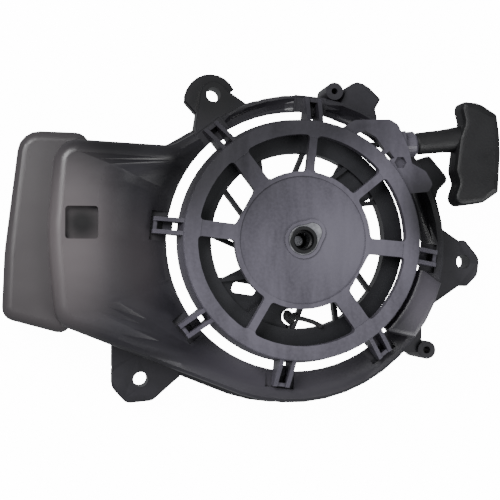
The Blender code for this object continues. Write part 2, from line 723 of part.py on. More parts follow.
def build_arm(case):
    """The arm that reaches out from the ring to hold the rope guide, and the pad beside it."""
    plate = rounded(spread_all([
        (0.030, 0.088, 0.0), (0.045, 0.0975, 0.004), (0.074, 0.0985, 0.003), (0.080, 0.0950, 0.003),
        (0.0885, 0.0760, 0.003), (0.0915, 0.0630, 0.003), (0.1035, 0.0565, 0.003),
        (0.1090, 0.0470, 0.003), (0.1060, 0.0420, 0.002), (0.0850, 0.0400, 0.0), (0.0660, 0.0660, 0.0),
    ]), 30)
    add(case, crowned(plate, ARM_TOP_Z - 0.0065, ARM_TOP_Z, 0.0015, 1))
    end = -EYELET_L / 2
    far_side = ARM_W / 2 - 0.003
    box = block(end - ARM_L, end, -ARM_W / 2, far_side, ARM_FOOT_Z, ARM_TOP_Z - 0.002)
    add(case, about_z(box, PULL_ANGLE, *GUIDE_AT))
    pad = rounded(spread_all([(0.0870, 0.0560, 0.0), (0.0960, 0.0560, 0.003), (0.1060, 0.0450, 0.003),
                              (0.0930, 0.0430, 0.0)]), 30)
    add(case, prism(pad, ARM_FOOT_Z, ARM_TOP_Z - 0.001))

    below, above = DECK_Z - 0.010, CASE_Z + 0.008
    window = arc(RING_OUT_R + 0.0012, 62, 47.5, 5)
    window += spread_all([(0.0695, 0.0755), (0.0625, 0.0850), (0.0530, 0.0905)])
    cut(case, prism(window, below, above))
    small = spread_all([(0.0700, 0.0710), (0.0728, 0.0668), (0.0780, 0.0680), (0.0735, 0.0738)])
    cut(case, prism(small, below, above))
    pocket = arc(0.0052, 0, 300, 60, spread(0.0830, 0.0645))
    cut(case, prism(pocket, ARM_TOP_Z - 0.0045, above))

    channel = block(end - ARM_L - 0.030, end - 0.0045, -ARM_W / 2 + WALL, far_side - WALL,
                    DECK_Z - 0.004, ARM_TOP_Z - 0.0066)
    cut(case, about_z(channel, PULL_ANGLE, *GUIDE_AT))
    cut(case, along_pull(drum(0, 0, EYELET_R - 0.0025 + FIT, -0.020, 0.010, 20), 0.0))
    cut(case, along_pull(drum(0, 0, EYELET_R + 2 * FIT, end, 0.040, 24), 0.0))


def build_case(plastic):
    plate_low = CASE_Z - CASE_T
    below, above = DECK_Z - 0.010, CASE_Z + 0.018
    skirt = [
        (RING_IN_R - 0.002, plate_low), (RING_OUT_R - 0.0005, plate_low),
        (RING_OUT_R + SKIRT_FLARE - SKIRT_T, SKIRT_Z), (RING_OUT_R + SKIRT_FLARE, SKIRT_Z),
        (RING_OUT_R, CASE_Z - 0.0008), (RING_OUT_R - 0.0008, CASE_Z),
        (RING_IN_R - 0.002, CASE_Z),
    ]
    case = node("starter_case", turned(skirt, 64), plastic)
    add(case, drum(0, 0, RING_IN_R + 0.0008, HUB_Z - SPOKE_DEPTH, CASE_Z - 0.0004, 64))
    windows = [prism(window_outline(spoke, SPOKES[(n + 1) % len(SPOKES)]), below, above)
               for n, spoke in enumerate(SPOKES)]
    cut(case, join(*windows))
    # hub: sunk face inside a raised border, spring cup below
    add(case, drum(0, 0, CUP_R + CUP_T, CUP_Z, HUB_Z - 0.001, 48))
    cut(case, drum(0, 0, CUP_R, below, HUB_Z - CASE_T, 48))
    cut(case, drum(0, 0, HUB_R - HUB_RIM, HUB_Z, above, 48))
    add(case, prism(key_outline(0.0030), HUB_Z - 0.002, HUB_Z + 0.0016))
    cut(case, prism(key_outline(FIT), HUB_Z, above))
    cut(case, drum(0, 0, BUSH_R + FIT, below, above, 32))
    for angle, over_deck in BRIDGES:
        add(case, *bridge(angle, over_deck))
    build_arm(case)
    # rope passes under the skirt
    start, guide = rope_start(), GUIDE_AT
    lean = degrees(atan2(guide[1] - start[1], guide[0] - start[0]))
    gate = block(-0.056, -0.018, -0.0045, 0.0045, SKIRT_Z - 0.006, ROPE_Z + 0.0045)
    cut(case, about_z(gate, lean, *guide))
    # stop in the cup's wall that holds the outer end of the spring
    add(case, drum(CUP_R - 0.0006, 0.0, 0.0010, SPRING_Z, HUB_Z - CASE_T + 0.001, 10))
    return case


# ---------------------------------------------------------------- pulley

def build_pulley(plastic):
    low = PULLEY_MID_Z - GROOVE_W / 2 - PULLEY_FLANGE_T
    high = PULLEY_MID_Z + GROOVE_W / 2 + PULLEY_FLANGE_T
    rim = turned([
        (PULLEY_RIM_IN_R, low), (PULLEY_R, low), (PULLEY_R, low + 0.0014), (GROOVE_R, low + PULLEY_FLANGE_T),
        (GROOVE_R, high - PULLEY_FLANGE_T), (PULLEY_R, high - 0.0014), (PULLEY_R, high),
        (PULLEY_RIM_IN_R, high),
    ], 60)
    pulley = node("pulley", rim, plastic)
    plate = turned([
        (BUSH_R + FIT, PAWL_Z + PAWL_T + 0.0017), (PULLEY_HUB_R, PAWL_Z + PAWL_T + 0.0017),
        (PULLEY_HUB_R, PULLEY_PLATE_Z), (PULLEY_PLATE_R, PULLEY_PLATE_Z),
        (PULLEY_PLATE_R, PULLEY_PLATE_Z + PULLEY_PLATE_T),
        (PULLEY_HUB_R, PULLEY_PLATE_Z + PULLEY_PLATE_T), (PULLEY_HUB_R, SPRING_Z + SPRING_H),
        (BUSH_R + FIT, SPRING_Z + SPRING_H),
    ], 40)
    add(pulley, plate)
    for n in range(RIB_COUNT):
        outer = radians(RIB_FIRST + n * 360.0 / RIB_COUNT)
        inner = outer + radians(RIB_LEAN)
        a = Vector(((PULLEY_RIM_IN_R + 0.001) * cos(outer), (PULLEY_RIM_IN_R + 0.001) * sin(outer)))
        b = Vector(((PULLEY_PLATE_R - 0.002) * cos(inner), (PULLEY_PLATE_R - 0.002) * sin(inner)))
        side = (a - b).normalized().orthogonal() * RIB_T / 2
        rib = [tuple(b - side), tuple(a - side), tuple(a + side), tuple(b + side)]
        if loop_area(rib) < 0:
            rib.reverse()
        add(pulley, prism(rib, PULLEY_PLATE_Z + 0.0005, RIB_TOP_Z))
    # solid webs with their pockets
    for start, stop in ((206, 266), (30, 61)):
        web = (arc(PULLEY_RIM_IN_R + 0.0008, start, stop, 7.5)
               + arc(PULLEY_PLATE_R - 0.0008, stop, start, 7.5))
        add(pulley, prism(web, PULLEY_PLATE_Z + 0.001, PULLEY_PLATE_Z + 0.0065))
    slot = rounded(spread_all([(-0.0530, -0.0335, 0.003), (-0.0560, -0.0420, 0.003),
                               (-0.0360, -0.0450, 0.003), (-0.0330, -0.0370, 0.003)]), 30)
    cut(pulley, prism(slot, low - 0.010, high + 0.010))
    # pins for the pawls
    for n in range(PAWL_COUNT):
        x, y = pawl_pivot(n)
        add(pulley, drum(x, y, PAWL_PIN_R, PAWL_Z - 0.0006, PULLEY_PLATE_Z + 0.001, 14))
    # hole for the rope's inner end
    x, y = knot_spot()
    cut(pulley, drum(x, y, KNOT_R * KNOT_SPREAD + FIT, low - 0.010, high + 0.010, 16))
    hole = drum(0, 0, ROPE_D / 2 + FIT, PULLEY_KNOT_R, PULLEY_R + 0.010, 12)
    moved(hole, Matrix.Translation((0, 0, PULLEY_MID_Z + 0.002)) @ Matrix.Rotation(pi / 2, 4, "Y"))
    cut(pulley, about_z(hole, KNOT_ANGLE))
    return pulley


def knot_spot():
    """Middle of the knot that holds the rope's inner end."""
    turn = radians(KNOT_ANGLE)
    return (PULLEY_KNOT_R * cos(turn), PULLEY_KNOT_R * sin(turn))


def pawl_pivot(n):
    turn = radians(PAWL_FIRST + n * 360.0 / PAWL_COUNT)
    return (PAWL_PIVOT_R * cos(turn), PAWL_PIVOT_R * sin(turn))


def build_ratchet(steel, spring_steel, nylon):
    """Pawls with their springs, the guide that throws them, and what holds the guide."""
    for n in range(PAWL_COUNT):
        x, y = pawl_pivot(n)
        turn = PAWL_FIRST + n * 360.0 / PAWL_COUNT
        body = arc(0.0052, 60, 300, 30) + [(0.012, -0.0048), (0.0215, -0.0035),
                                          (0.0235, 0.0002), (0.018, 0.0022), (0.008, 0.0046)]
        pawl = prism(body, PAWL_Z, PAWL_Z + PAWL_T)
        made = node("pawl_%d" % (n + 1), about_z(pawl, turn + PAWL_TUCK, x, y), steel, (x, y, 0))
        cut(made, drum(x, y, PAWL_PIN_R + FIT, PAWL_Z - 0.010, PAWL_Z + 0.020, 14))
        peg = about_z(drum(0.0125, -0.0010, 0.0016, GUIDE_Z + 0.0002, PAWL_Z + 0.001, 10),
                      turn + PAWL_TUCK, x, y)
        add(made, peg)
        coil_z = PAWL_Z + PAWL_T + FIT
        coil = turned([(PAWL_PIN_R + FIT, coil_z), (PAWL_PIN_R + 0.0018, coil_z),
                       (PAWL_PIN_R + 0.0018, PULLEY_PLATE_Z - FIT),
                       (PAWL_PIN_R + FIT, PULLEY_PLATE_Z - FIT)], 16)
        node("pawl_spring_%d" % (n + 1), about_z(coil, 0, x, y), spring_steel)

    neck = BUSH_LOW_Z - FIT
    guide = node("ratchet_guide", turned([
        (BOLT_R + FIT, GUIDE_Z), (GUIDE_R, GUIDE_Z), (GUIDE_R, GUIDE_Z + GUIDE_T),
        (0.0100, GUIDE_Z + GUIDE_T), (0.0100, neck), (BOLT_R + FIT, neck),
    ], 48), nylon)
    for n in range(PAWL_COUNT):
        turn = PAWL_FIRST + n * 360.0 / PAWL_COUNT
        slot = arc(0.0310, turn - 62, turn + 12, 9) + arc(0.0125, turn + 12, turn - 62, 12)
        cut(guide, prism(slot, GUIDE_Z - 0.010, GUIDE_Z + 0.010))
    top = GUIDE_Z - FIT
    node("friction_spring", turned([(0.0060, top - 0.0020), (0.0084, top - 0.0020),
                                    (0.0084, top), (0.0060, top)], 24), spring_steel)
    top = top - 0.0020 - FIT
    node("guide_washer", turned([(BOLT_R + FIT, top - 0.0014), (0.0095, top - 0.0014),
                                 (0.0095, top), (BOLT_R + FIT, top)], 24), steel)
    top = top - 0.0014 - FIT
    head = prism(arc(0.0072, 0, 300, 60), top - 0.0050, top)
    bolt = node("guide_bolt", head, steel)
    add(bolt, drum(0, 0, BOLT_R, top - 0.001, BUSH_LOW_Z + 0.0120, 20))


def build_post(bush_plastic, steel):
    """The bush that the pulley turns on, with its key plate."""
    floor = BUSH_LOW_Z + 0.006
    node("centre_bush", turned([
        (BOLT_R + FIT, BUSH_LOW_Z), (BUSH_R, BUSH_LOW_Z), (BUSH_R, BUSH_TOP_Z - BUSH_FLANGE_T),
        (BUSH_FLANGE_R, BUSH_TOP_Z - BUSH_FLANGE_T), (BUSH_FLANGE_R, BUSH_TOP_Z - 0.0004),
        (BUSH_FLANGE_R - 0.0006, BUSH_TOP_Z), (0.0084, BUSH_TOP_Z), (0.0078, BUSH_TOP_Z - 0.006),
        (0.0064, BUSH_TOP_Z - 0.007), (0.0060, floor), (BOLT_R + FIT, floor),
    ], 36), bush_plastic)
    plate = prism(key_outline(0.0), HUB_Z + FIT, BUSH_TOP_Z - BUSH_FLANGE_T - FIT)
    key = node("key_plate", plate, steel)
    cut(key, drum(0, 0, BUSH_R + FIT, HUB_Z - 0.010, BUSH_TOP_Z + 0.010, 32))


def build_spring(spring_steel):
    """A flat spiral strip between the pulley's hub and the post in the case."""
    steps = 20 * SPRING_TURNS
    inner, outer = [], []
    for k in range(steps + 1):
        turn = 2 * pi * SPRING_TURNS * k / steps
        radius = SPRING_IN_R + (SPRING_OUT_R - SPRING_IN_R) * k / steps
        inner.append((radius * cos(turn), radius * sin(turn)))
        outer.append(((radius + SPRING_T) * cos(turn), (radius + SPRING_T) * sin(turn)))
    strip = prism(outer + inner[::-1], SPRING_Z + FIT, SPRING_Z + SPRING_H)
    node("recoil_spring", strip, spring_steel)


def build_spring_cover(steel):
    top = SPRING_Z - FIT
    node("spring_cover", turned([
        (PULLEY_HUB_R + 0.0010, top - 0.0010), (CUP_R - FIT, top - 0.0010),
        (CUP_R - FIT, top), (PULLEY_HUB_R + 0.0010, top)], 48), steel)


# ---------------------------------------------------------------- rope and grip

def build_rope(rope):
    """Two turns on the pulley, the knot at the inner end, and the lead to the grip."""
    radius = ROPE_D / 2
    outline = []
    for centre_z, first, last in ((PULLEY_MID_Z - radius, -150, 60), (PULLEY_MID_Z + radius, -60, 150)):
        for k in range(5):
            turn = radians(first + (last - first) * k / 4)
            outline.append((ROPE_R + radius * cos(turn), centre_z + radius * sin(turn)))
    winding = node("rope_winding", turned(outline, 40), rope)
    start, bend, _ = lead_route()
    cut(winding, swept([start, bend], radius + FIT, 10))

    z = PULLEY_MID_Z + 0.002
    turn = radians(KNOT_ANGLE)
    knot_at = Vector((*knot_spot(), z))
    ball = bmesh.new()
    bmesh.ops.create_icosphere(ball, subdivisions=2, radius=KNOT_R)
    moved(ball, Matrix.Translation(knot_at) @ Matrix.Diagonal((KNOT_SPREAD, 0.9, 0.95, 1)))
    knot = node("pulley_knot", ball, rope)
    stub_end = Vector(((GROOVE_R - FIT) * cos(turn), (GROOVE_R - FIT) * sin(turn), z))
    add(knot, swept([knot_at, stub_end], radius, 8))
    lift = RIB_TOP_Z + radius + 0.0018 - z
    tail = [knot_at, knot_at + Vector((0.003, -0.0005, lift * 0.7)),
            knot_at + Vector((0.010, -0.0015, lift)), knot_at + Vector((0.018, -0.0040, lift)),
            knot_at + Vector((0.0255, -0.0075, lift))]
    add(knot, swept(tail, radius, 8))

    node("rope_lead", swept(lead_route(), radius, 8), rope)
    ball = bmesh.new()
    bmesh.ops.create_icosphere(ball, subdivisions=2, radius=KNOT_R)
    spot = knot_centre()
    moved(ball, Matrix.Translation((*spot, ROPE_Z)))
    node("grip_knot", ball, rope)


def build_guide(steel):
    """The flanged eyelet that the rope leaves the arm through."""
    half = EYELET_L / 2
    bore = ROPE_D / 2 + 0.0012
    neck = EYELET_R - 0.0025
    eyelet = turned([
        (bore, -half - EYELET_NECK), (neck, -half - EYELET_NECK), (neck, -half + FIT),
        (EYELET_R, -half + FIT), (EYELET_R, half - 0.0018), (EYELET_R - 0.0018, half),
        (bore + 0.0018, half), (bore, half - 0.0020),
    ], 28)
    node("rope_guide", along_pull(eyelet, 0.0), steel)


def build_grip(grip_plastic, steel):
    """T-shaped pull handle, with the pocket for the rope's knot and the cap that closes it."""
    bar = rounded([
        (BAR_IN - 0.0140, -0.0480, 0.005), (BAR_IN - 0.0115, -0.0560, 0.006),
        (BAR_IN + 0.0110, -0.0555, 0.006), (BAR_OUT - 0.0070, -0.0480, 0.003),
        (BAR_OUT, -0.0080, 0.080), (BAR_OUT - 0.0005, 0.0170, 0.003),
        (BAR_IN + 0.0180, 0.0280, 0.012), (BAR_IN + 0.0030, 0.0310, 0.004),
        (BAR_IN + 0.0010, 0.0240, 0.005), (BAR_IN + 0.0025, 0.0130, 0.006),
        (BAR_IN - 0.0040, 0.0000, 0.010), (BAR_IN - 0.0105, -0.0260, 0.006),
        (BAR_IN - 0.0085, -0.0370, 0.005),
    ], 30)
    half = BAR_THICK / 2
    edge = 0.005
    shape = stack([
        (inset(bar, edge), -half), (inset(bar, edge * 0.3), -half + edge * 0.3),
        (bar, -half + edge), (bar, half - edge), (inset(bar, edge * 0.3), half - edge * 0.3),
        (inset(bar, edge), half),
    ])
    moved(shape, Matrix.Translation((*GUIDE_AT, ROPE_Z)) @ Matrix.Rotation(radians(PULL_ANGLE), 4, "Z"))
    grip = node("grip", shape, grip_plastic)
    stem = turned([(0.0, 0.0), (STEM_R - 0.0012, 0.0), (STEM_R, 0.0015), (STEM_R + 0.0004, STEM_L * 0.6),
                   (STEM_R + 0.0022, STEM_L + 0.004), (0.0, STEM_L + 0.004)], 24)
    add(grip, along_pull(stem, STEM_START))
    cut(grip, along_pull(drum(0, 0, ROPE_D / 2 + 0.0006, -0.010, 0.070, 14), STEM_START))
    cut(grip, along_pull(drum(0, 0, GRIP_CAP_R + FIT, KNOT_SEAT, BAR_OUT + 0.020, 20), 0.0))
    washer = turned([(ROPE_D / 2 + 0.0004, 0), (GRIP_CAP_R - 0.0008, 0),
                     (GRIP_CAP_R - 0.0008, GRIP_WASHER_T), (ROPE_D / 2 + 0.0004, GRIP_WASHER_T)], 20)
    node("grip_washer", along_pull(washer, KNOT_SEAT + FIT), steel)
    cap_low = KNOT_SEAT + 0.0145
    cap = turned([(0.0, cap_low), (GRIP_CAP_R, cap_low), (GRIP_CAP_R, BAR_OUT - 0.0006),
                  (0.0, BAR_OUT - 0.0002)], 20)
    node("grip_cap", along_pull(cap, 0.0), grip_plastic)


def build():
    clear_scene()
    case_plastic = finish("case_plastic", (0.135, 0.130, 0.155), 0.42)
    housing_plastic = finish("housing_plastic", (0.040, 0.040, 0.050), 0.40)
    pulley_plastic = finish("pulley_plastic", (0.030, 0.030, 0.036), 0.38)
    grip_plastic = finish("grip_plastic", (0.030, 0.030, 0.034), 0.55)
    bush_plastic = finish("bush_plastic", (0.010, 0.010, 0.012), 0.40)
    steel = finish("steel", (0.45, 0.45, 0.47), 0.35, 1.0)
    spring_steel = finish("spring_steel", (0.20, 0.21, 0.25), 0.30, 1.0)
    nylon = finish("nylon", (0.020, 0.020, 0.022), 0.45)
    rope = finish("rope", (0.015, 0.015, 0.016), 0.85)
    build_housing(housing_plastic)
    build_extension(housing_plastic, steel)
    build_case(case_plastic)
    build_pulley(pulley_plastic)
    build_ratchet(steel, spring_steel, nylon)
    build_post(bush_plastic, steel)
    build_spring(spring_steel)
    build_spring_cover(steel)
    build_rope(rope)
    build_guide(bush_plastic)
    build_grip(grip_plastic, steel)


build()
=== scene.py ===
"""Looks of a recoil starter: moulded blower housing, spoked starter case, rope pulley and T-handle."""

import math

import bmesh
import bpy
from mathutils import Matrix, Vector


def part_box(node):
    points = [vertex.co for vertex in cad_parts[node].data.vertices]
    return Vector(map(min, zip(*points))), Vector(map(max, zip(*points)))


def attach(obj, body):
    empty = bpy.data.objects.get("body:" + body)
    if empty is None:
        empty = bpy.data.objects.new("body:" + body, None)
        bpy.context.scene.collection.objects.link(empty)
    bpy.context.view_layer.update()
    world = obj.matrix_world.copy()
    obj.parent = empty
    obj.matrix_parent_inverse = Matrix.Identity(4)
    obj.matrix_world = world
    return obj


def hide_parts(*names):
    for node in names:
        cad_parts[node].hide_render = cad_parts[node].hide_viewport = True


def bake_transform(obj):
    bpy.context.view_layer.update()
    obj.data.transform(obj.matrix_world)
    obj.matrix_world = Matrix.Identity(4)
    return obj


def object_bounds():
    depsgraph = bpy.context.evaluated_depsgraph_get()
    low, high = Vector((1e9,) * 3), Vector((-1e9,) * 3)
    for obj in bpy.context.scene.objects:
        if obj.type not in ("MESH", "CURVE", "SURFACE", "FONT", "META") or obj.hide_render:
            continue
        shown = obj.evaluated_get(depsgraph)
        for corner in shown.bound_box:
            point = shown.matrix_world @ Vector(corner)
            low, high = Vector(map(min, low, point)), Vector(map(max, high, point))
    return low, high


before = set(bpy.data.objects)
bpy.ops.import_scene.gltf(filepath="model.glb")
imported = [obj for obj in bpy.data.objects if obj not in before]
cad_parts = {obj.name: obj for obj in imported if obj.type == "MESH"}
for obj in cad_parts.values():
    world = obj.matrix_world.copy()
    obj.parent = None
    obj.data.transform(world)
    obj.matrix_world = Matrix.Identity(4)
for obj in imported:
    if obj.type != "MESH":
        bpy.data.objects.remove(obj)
cad_low, cad_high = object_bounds()

# ---------------------------------------------------------------- studio
# A white light table under the part, one large soft box behind it to the left, a smaller
# one at the right, and a pale room.  The camera looks down at the face from beyond the duct.
# The table is bright to look at but sends no light up at the part.

camera_data = bpy.data.cameras.new("camera")
camera_data.lens = 90.0
camera_data.sensor_width = 36.0
camera_data.clip_start = 0.01
camera = bpy.data.objects.new("camera", camera_data)
bpy.context.scene.collection.objects.link(camera)
bpy.context.scene.camera = camera
camera_at = Vector((-0.2016, -0.0319, 1.0792))
sight = Vector((0.1579, 0.0237, -0.9872)).normalized()
right = sight.cross(Vector((0, 1, 0))).normalized()
up = right.cross(sight)
camera.matrix_world = Matrix.Translation(camera_at) @ Matrix((right, up, -sight)).transposed().to_4x4()

floor_mesh = bmesh.new()
bmesh.ops.create_grid(floor_mesh, x_segments=1, y_segments=1, size=4.0)
bmesh.ops.translate(floor_mesh, verts=floor_mesh.verts, vec=(0, 0, cad_low[2] - 0.0005))
floor_data = bpy.data.meshes.new("light_table")
floor_mesh.to_mesh(floor_data)
floor_mesh.free()
light_table = bpy.data.objects.new("light_table", floor_data)
bpy.context.scene.collection.objects.link(light_table)
white_glass = bpy.data.materials.new("white_glass")
white_glass.use_nodes = True
glass_shader = white_glass.node_tree.nodes["Principled BSDF"]
glass_shader.inputs["Base Color"].default_value = (0.90, 0.90, 0.90, 1)
glass_shader.inputs["Roughness"].default_value = 0.9
glass_shader.inputs["Emission Color"].default_value = (1.0, 1.0, 1.0, 1)
glass_shader.inputs["Emission Strength"].default_value = 14.0
floor_data.materials.append(white_glass)
light_table.visible_diffuse = False
light_table.visible_glossy = False

world = bpy.data.worlds.new("pale_room")
bpy.context.scene.world = world
world.use_nodes = True
world.node_tree.nodes["Background"].inputs["Color"].default_value = (0.95, 0.97, 1.0, 1)
world.node_tree.nodes["Background"].inputs["Strength"].default_value = 0.34


def soft_box(name, place, target, size, power):
    """A square lamp at a place, facing a target."""
    lamp = bpy.data.lights.new(name, "AREA")
    lamp.size = size
    lamp.energy = power
    held = bpy.data.objects.new(name, lamp)
    bpy.context.scene.collection.objects.link(held)
    held.location = place
    held.rotation_euler = (Vector(target) - Vector(place)).to_track_quat("-Z", "Y").to_euler()
    return held


soft_box("key_box", (-0.75, 0.55, 1.2), (0, 0, 0.05), 0.7, 20.0)
soft_box("fill_box", (0.75, -0.7, 1.0), (0, 0, 0.05), 0.6, 9.0)

# ---------------------------------------------------------------- moulded plastics
# Every shell is glass-filled nylon straight from the tool: satin, with cloudy flow marks
# drawn out along the mould's run, a fine spark-eroded grain and edges made lighter, partly as rubbing and
# partly as a painted edge highlight.
# Wide soft patches of painted light and painted shade make stretches of the case and the duct paler or
# darker.


def wired(made, kind, **values):
    """A shader node with some of its inputs set."""
    step = made.node_tree.nodes.new(kind)
    for key, value in values.items():
        step.inputs[key.replace("_", " ")].default_value = value
    return step


def mixed(made, factor, low, high):
    """A colour mix driven by a factor socket, between a colour or socket and a colour."""
    step = made.node_tree.nodes.new("ShaderNodeMix")
    step.data_type = "RGBA"
    links = made.node_tree.links
    links.new(factor, step.inputs["Factor"])
    for key, value in (("A", low), ("B", high)):
        if isinstance(value, tuple):
            step.inputs[key].default_value = (*value, 1)
        else:
            links.new(value, step.inputs[key])
    return step.outputs["Result"]


def spanned(made, source, low, high, out_low, out_high):
    """A value taken from one range to another."""
    step = wired(made, "ShaderNodeMapRange", From_Min=low, From_Max=high, To_Min=out_low, To_Max=out_high)
    made.node_tree.links.new(source, step.inputs["Value"])
    return step.outputs["Result"]


def near(made, place, centre, reach):
    """A soft patch: one at its centre and nothing beyond its reach, both in metres."""
    moved = wired(made, "ShaderNodeMapping", Scale=tuple(1 / r for r in reach),
                  Location=tuple(-c / r for c, r in zip(centre, reach)))
    made.node_tree.links.new(place, moved.inputs["Vector"])
    span = made.node_tree.nodes.new("ShaderNodeVectorMath")
    span.operation = "LENGTH"
    made.node_tree.links.new(moved.outputs["Vector"], span.inputs[0])
    step = wired(made, "ShaderNodeMapRange", From_Min=0.15, From_Max=1.0, To_Min=1.0, To_Max=0.0)
    step.interpolation_type = "SMOOTHSTEP"
    made.node_tree.links.new(span.outputs["Value"], step.inputs["Value"])
    return step.outputs["Result"]


def plastic(name, colour, roughness, flow_scale, flow=0.25, grain=0.12, rub_and_edge_highlight=0.22, specular=0.5,
            speck_scale=1500.0, painted_light_patches=()):
    """A moulded plastic: flow marks, mottling, grain, edges lightened partly by rubbing and partly as a
    painted highlight, and soft patches of painted light and painted shade.
    """
    made = bpy.data.materials.new(name)
    made.use_nodes = True
    links = made.node_tree.links
    shader = made.node_tree.nodes["Principled BSDF"]
    place = made.node_tree.nodes.new("ShaderNodeTexCoord").outputs["Object"]
    stretch = wired(made, "ShaderNodeMapping", Scale=flow_scale)
    links.new(place, stretch.inputs["Vector"])
    run = wired(made, "ShaderNodeTexNoise", Scale=1.0, Detail=6.0, Roughness=0.6, Distortion=0.4)
    links.new(stretch.outputs["Vector"], run.inputs["Vector"])
    mottle = wired(made, "ShaderNodeTexNoise", Scale=420.0, Detail=3.0)
    links.new(place, mottle.inputs["Vector"])
    dark = tuple(c * (1 - flow) for c in colour)
    light = tuple(c * (1 + flow) for c in colour)
    body = mixed(made, spanned(made, run.outputs["Fac"], 0.3, 0.7, 0.0, 1.0), dark, light)
    body = mixed(made, spanned(made, mottle.outputs["Fac"], 0.35, 0.75, 0.0, 0.35), body,
                 tuple(c * 1.7 for c in colour))
    # Convex edges turn lighter, partly as rubbing wear and partly as a painted edge highlight.
    bent = made.node_tree.nodes.new("ShaderNodeNewGeometry").outputs["Pointiness"]
    body = mixed(made, spanned(made, bent, 0.515, 0.60, 0.0, rub_and_edge_highlight), body,
                 tuple(min(1.0, c * 2.4 + 0.02) for c in colour))
    # Soft patches of painted light and painted shade: each one mixes the colour towards a paler painted
    # light or a near-black painted shade.
    for centre, reach, tint, strength in painted_light_patches:
        body = mixed(made, spanned(made, near(made, place, centre, reach), 0.0, 1.0, 0.0, strength),
                     body, tint)
    links.new(body, shader.inputs["Base Color"])
    links.new(spanned(made, run.outputs["Fac"], 0.3, 0.7, roughness - 0.06, roughness + 0.08),
              shader.inputs["Roughness"])
    speck = wired(made, "ShaderNodeTexNoise", Scale=speck_scale, Detail=2.0)
    links.new(place, speck.inputs["Vector"])
    bump = wired(made, "ShaderNodeBump", Strength=grain, Distance=0.0002)
    links.new(speck.outputs["Fac"], bump.inputs["Height"])
    links.new(bump.outputs["Normal"], shader.inputs["Normal"])
    shader.inputs["Specular IOR Level"].default_value = specular
    return made


# The near-black tint of the painted shade patches.
PAINTED_SHADE = (0.0015, 0.0015, 0.0020)
# The case: painted shade over the upper left, the top and the right of the ring, and a painted highlight
# over the hub.
case_plastic = plastic("case_plastic", (0.085, 0.079, 0.100), 0.40, (55, 12, 30), 0.30, 0.18, painted_light_patches=(
    ((-0.090, 0.065, 0.085), (0.120, 0.085, 0.2), PAINTED_SHADE, 0.80),
    ((0.010, 0.098, 0.085), (0.120, 0.055, 0.2), PAINTED_SHADE, 0.70),
    ((0.105, 0.030, 0.085), (0.035, 0.055, 0.2), PAINTED_SHADE, 0.85),
    ((0.035, -0.005, 0.085), (0.065, 0.050, 0.2), (0.150, 0.141, 0.175), 0.6),
))
# The housing: painted sheen along the duct, painted shade on the duct, round the upper left, in the right
# trough and in the top pockets, and paler painted light over the lower-right face and the lower deck.
housing_plastic = plastic("housing_plastic", (0.016, 0.015, 0.019), 0.36, (14, 26, 18), 0.30, 0.10, painted_light_patches=(
    ((-0.190, 0.000, 0.08), (0.060, 0.110, 0.045), (0.150, 0.132, 0.136), 0.75),
    ((-0.130, -0.015, 0.08), (0.030, 0.060, 0.045), (0.075, 0.066, 0.070), 0.55),
    ((-0.177, 0.0135, 0.077), (0.024, 0.024, 0.010), PAINTED_SHADE, 0.95),
    ((-0.095, 0.050, 0.07), (0.040, 0.070, 0.3), PAINTED_SHADE, 0.60),
    ((0.125, 0.030, 0.05), (0.045, 0.060, 0.3), PAINTED_SHADE, 0.95),
    ((0.105, -0.056, 0.08), (0.030, 0.045, 0.045), (0.095, 0.086, 0.105), 0.80),
    ((-0.064, 0.126, 0.02), (0.050, 0.045, 0.3), PAINTED_SHADE, 0.90),
    ((-0.150, 0.080, 0.08), (0.060, 0.030, 0.3), PAINTED_SHADE, 0.80),
    ((-0.020, -0.108, 0.06), (0.120, 0.035, 0.045), (0.075, 0.070, 0.085), 0.70),
))
# The duct extension: one broad painted sheen over its middle.
extension_plastic = plastic("extension_plastic", (0.016, 0.015, 0.019), 0.40, (14, 26, 18), 0.30, 0.10,
                            painted_light_patches=(
    ((-0.215, 0.000, 0.066), (0.120, 0.200, 0.035), (0.066, 0.059, 0.062), 1.0),
))
pulley_plastic = plastic("pulley_plastic", (0.012, 0.012, 0.015), 0.38, (25, 25, 25), 0.3, 0.15)
grip_plastic = plastic("grip_plastic", (0.006, 0.006, 0.007), 0.50, (30, 30, 30), 0.2, 0.9,
                       speck_scale=900.0)
bush_plastic = plastic("bush_plastic", (0.006, 0.006, 0.007), 0.38, (30, 30, 30), 0.2, 0.1)
nylon = plastic("nylon", (0.012, 0.012, 0.013), 0.45, (30, 30, 30), 0.2, 0.1)

# ---------------------------------------------------------------- metals
# Zinc-plated screws and washers, cloudy; blued strip for the springs.


def metal(name, colour, roughness):
    made = bpy.data.materials.new(name)
    made.use_nodes = True
    links = made.node_tree.links
    shader = made.node_tree.nodes["Principled BSDF"]
    shader.inputs["Metallic"].default_value = 1.0
    place = made.node_tree.nodes.new("ShaderNodeTexCoord").outputs["Object"]
    cloud = wired(made, "ShaderNodeTexNoise", Scale=180.0, Detail=6.0)
    links.new(place, cloud.inputs["Vector"])
    links.new(mixed(made, cloud.outputs["Fac"], tuple(c * 0.7 for c in colour),
                    tuple(min(1.0, c * 1.25) for c in colour)), shader.inputs["Base Color"])
    links.new(spanned(made, cloud.outputs["Fac"], 0.3, 0.7, roughness - 0.08, roughness + 0.12),
              shader.inputs["Roughness"])
    return made


zinc = metal("zinc", (0.50, 0.50, 0.53), 0.35)
blued_steel = metal("blued_steel", (0.16, 0.17, 0.22), 0.30)


